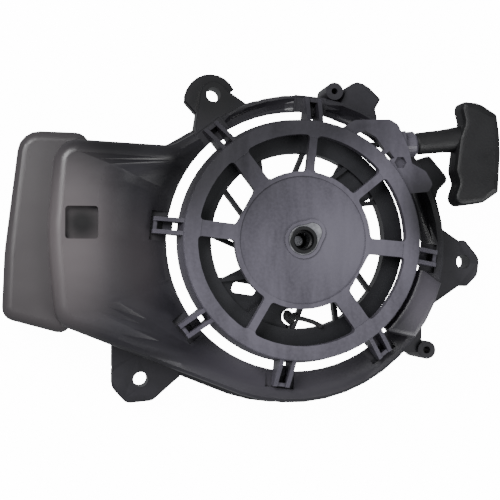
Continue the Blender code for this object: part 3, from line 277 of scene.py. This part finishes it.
def soften(name, material, radius, body, segments=2, angle=30.0):
    """A moulded piece with its edges broken, made over a merged copy of its CAD node."""
    shape = bmesh.new()
    shape.from_mesh(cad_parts[name].data)
    bmesh.ops.remove_doubles(shape, verts=shape.verts, dist=2e-6)
    bmesh.ops.dissolve_limit(shape, angle_limit=math.radians(0.5), verts=shape.verts, edges=shape.edges)
    made = placed(name + "_moulded", shape, material, body)
    made.data.set_sharp_from_angle(angle=math.radians(angle))
    edge = made.modifiers.new("broken_edges", "BEVEL")
    edge.width = radius
    edge.segments = segments
    edge.limit_method = "ANGLE"
    edge.angle_limit = math.radians(angle)
    edge.harden_normals = True
    even = made.modifiers.new("even_shading", "WEIGHTED_NORMAL")
    even.keep_sharp = True
    even.weight = 90
    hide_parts(name)
    return made


def placed(name, shape, material, body):
    """A finished, smooth-shaded object that rides on a body."""
    data = bpy.data.meshes.new(name)
    shape.to_mesh(data)
    shape.free()
    data.materials.append(material)
    data.shade_smooth()
    made = bpy.data.objects.new(name, data)
    bpy.context.scene.collection.objects.link(made)
    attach(made, body)
    return made


def finish_node(name, material):
    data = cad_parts[name].data
    data.materials.clear()
    data.materials.append(material)


soften("blower_housing", housing_plastic, 0.0007, "housing")
soften("duct_extension", extension_plastic, 0.0007, "housing")
soften("starter_case", case_plastic, 0.0005, "housing")
soften("pulley", pulley_plastic, 0.0004, "pulley")
soften("grip", grip_plastic, 0.0008, "handle", 3)
finish_node("centre_bush", bush_plastic)
finish_node("rope_guide", case_plastic)
finish_node("grip_cap", grip_plastic)
finish_node("ratchet_guide", nylon)
for name in ("extension_screw_1", "extension_screw_2", "key_plate", "spring_cover", "guide_bolt",
             "guide_washer", "grip_washer", "pawl_1", "pawl_2"):
    finish_node(name, zinc)
for name in ("recoil_spring", "friction_spring", "pawl_spring_1", "pawl_spring_2"):
    finish_node(name, blued_steel)

# ---------------------------------------------------------------- rope
# A braided 4.4 mm starter rope: two laps in the pulley's groove, the stopper knot with its
# tail, the lead through the guide, and the knot inside the grip.

rope_fibre = bpy.data.materials.new("rope_fibre")
rope_fibre.use_nodes = True
rope_shader = rope_fibre.node_tree.nodes["Principled BSDF"]
rope_shader.inputs["Base Color"].default_value = (0.012, 0.012, 0.013, 1)
rope_shader.inputs["Roughness"].default_value = 0.85
rope_shader.inputs["Sheen Weight"].default_value = 0.25
lay = rope_fibre.node_tree.nodes.new("ShaderNodeUVMap")
plait = wired(rope_fibre, "ShaderNodeTexChecker", Scale=1.0)
turned_lay = wired(rope_fibre, "ShaderNodeMapping", Rotation=(0, 0, math.radians(45)), Scale=(1, 1, 1))
rope_fibre.node_tree.links.new(lay.outputs["UV"], turned_lay.inputs["Vector"])
rope_fibre.node_tree.links.new(turned_lay.outputs["Vector"], plait.inputs["Vector"])
rope_bump = wired(rope_fibre, "ShaderNodeBump", Strength=0.9, Distance=0.0004)
rope_fibre.node_tree.links.new(plait.outputs["Fac"], rope_bump.inputs["Height"])
rope_fibre.node_tree.links.new(rope_bump.outputs["Normal"], rope_shader.inputs["Normal"])
rope_fibre.node_tree.links.new(
    mixed(rope_fibre, plait.outputs["Fac"], (0.007, 0.007, 0.008), (0.022, 0.022, 0.024)),
    rope_shader.inputs["Base Color"])

ROPE_R = 0.0022
WINDING_R = 0.0785      # centre line of the rope in the groove
GROOVE_MID_Z = 0.065
PLAITS = 10.0           # crossings of the plait round the rope


def tube(route, radius, sides=16):
    """A round tube along a route, unwrapped so that the plait keeps its size."""
    shape = bmesh.new()
    layer = shape.loops.layers.uv.new("UVMap")
    rings, lengths, travelled = [], [], 0.0
    across = None
    for i, spot in enumerate(route):
        ahead = (route[min(i + 1, len(route) - 1)] - route[max(i - 1, 0)]).normalized()
        if across is None:
            across = ahead.orthogonal().normalized()
        across = (across - ahead * across.dot(ahead)).normalized()
        over = ahead.cross(across)
        if i:
            travelled += (spot - route[i - 1]).length
        lengths.append(travelled)
        rings.append([shape.verts.new(spot + (across * math.cos(t) + over * math.sin(t)) * radius)
                      for t in (2 * math.pi * k / sides for k in range(sides))])
    for n in range(len(rings) - 1):
        for k in range(sides):
            m = (k + 1) % sides
            face = shape.faces.new((rings[n][k], rings[n][m], rings[n + 1][m], rings[n + 1][k]))
            corners = ((k, n), (k + 1, n), (k + 1, n + 1), (k, n + 1))
            for loop, (a, b) in zip(face.loops, corners):
                loop[layer].uv = (a / sides * PLAITS, lengths[b] / (2 * math.pi * radius) * PLAITS)
    for ring, step in ((rings[0], -1), (rings[-1], 1)):
        shape.faces.new(ring[::-step] if step > 0 else ring)
    bmesh.ops.recalc_face_normals(shape, faces=shape.faces)
    return shape


def knot_route(centre, size, tilt):
    """A tight three-lobed knot about a centre, closed on itself."""
    route = []
    for k in range(73):
        t = 2 * math.pi * k / 72
        point = Vector((math.sin(t) + 2 * math.sin(2 * t), math.cos(t) - 2 * math.cos(2 * t),
                        -1.5 * math.sin(3 * t))) * size
        route.append(centre + tilt @ point)
    return route


def middle(name):
    low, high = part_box(name)
    return (low + high) / 2


PULL_TURN = math.radians(6.5)
PULL = Vector((math.cos(PULL_TURN), math.sin(PULL_TURN), 0))
guide_at = middle("rope_guide") + PULL * 0.003
rope_z = middle("rope_lead").z
stopper_at = middle("grip_knot")
bearing = math.atan2(guide_at.y, guide_at.x)
bearing += math.acos(WINDING_R / math.hypot(guide_at.x, guide_at.y))
leaves_at = Vector((WINDING_R * math.cos(bearing), WINDING_R * math.sin(bearing), rope_z))
lead_end = stopper_at - PULL * 0.0059
bend_at = Vector((guide_at.x, guide_at.y, rope_z))
route = [leaves_at.lerp(bend_at, k / 40) for k in range(40)]
route += [bend_at.lerp(lead_end, k / 160) for k in range(161)]
lead = tube(route, ROPE_R)
data = bpy.data.meshes.new("braided_lead")
lead.to_mesh(data)
lead.free()
data.materials.append(rope_fibre)
data.shade_smooth()
braided_lead = bpy.data.objects.new("braided_lead", data)
bpy.context.scene.collection.objects.link(braided_lead)
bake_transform(braided_lead)
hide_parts("rope_lead")

laps = []
for layer in (0, 1):
    z = GROOVE_MID_Z + (layer - 0.5) * 2 * ROPE_R
    laps.append([Vector((WINDING_R * math.cos(t), WINDING_R * math.sin(t), z))
                 for t in (math.radians(95 + 357 * k / 150) for k in range(151))])
for n, route in enumerate(laps):
    lap = placed("rope_lap_%d" % (n + 1), tube(route, ROPE_R, 12), rope_fibre, "pulley")
    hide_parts("rope_winding")

KNOT_TURN, KNOT_OUT = math.radians(-96), 0.0630
knot_at = Vector((KNOT_OUT * math.cos(KNOT_TURN), KNOT_OUT * math.sin(KNOT_TURN), 0.067))
TIGHT_ROPE_R = 0.0020   # the rope where it is pulled tight
stopper = placed("stopper_knot", tube(knot_route(knot_at, 0.00155, Matrix.Rotation(0.5, 3, "X")),
                                      TIGHT_ROPE_R, 12), rope_fibre, "pulley")
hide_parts("pulley_knot")
tail_route = []
spots = [Vector((0.001, 0.000, 0.0030)), Vector((0.004, -0.0005, 0.0058)), Vector((0.010, -0.0015, 0.0070)),
         Vector((0.018, -0.0040, 0.0072)), Vector((0.0255, -0.0075, 0.0072))]
for a, b in zip(spots, spots[1:]):
    tail_route += [knot_at + a.lerp(b, k / 8) for k in range(8)]
tail_route.append(knot_at + spots[-1])
tail = placed("knot_tail", tube(tail_route, TIGHT_ROPE_R, 12), rope_fibre, "pulley")
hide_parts("pulley_knot")
grip_stopper = placed("grip_stopper", tube(knot_route(stopper_at, 0.0014, Matrix.Rotation(1.2, 3, "Y")),
                                           0.0016, 12), rope_fibre, "handle")
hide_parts("grip_knot")
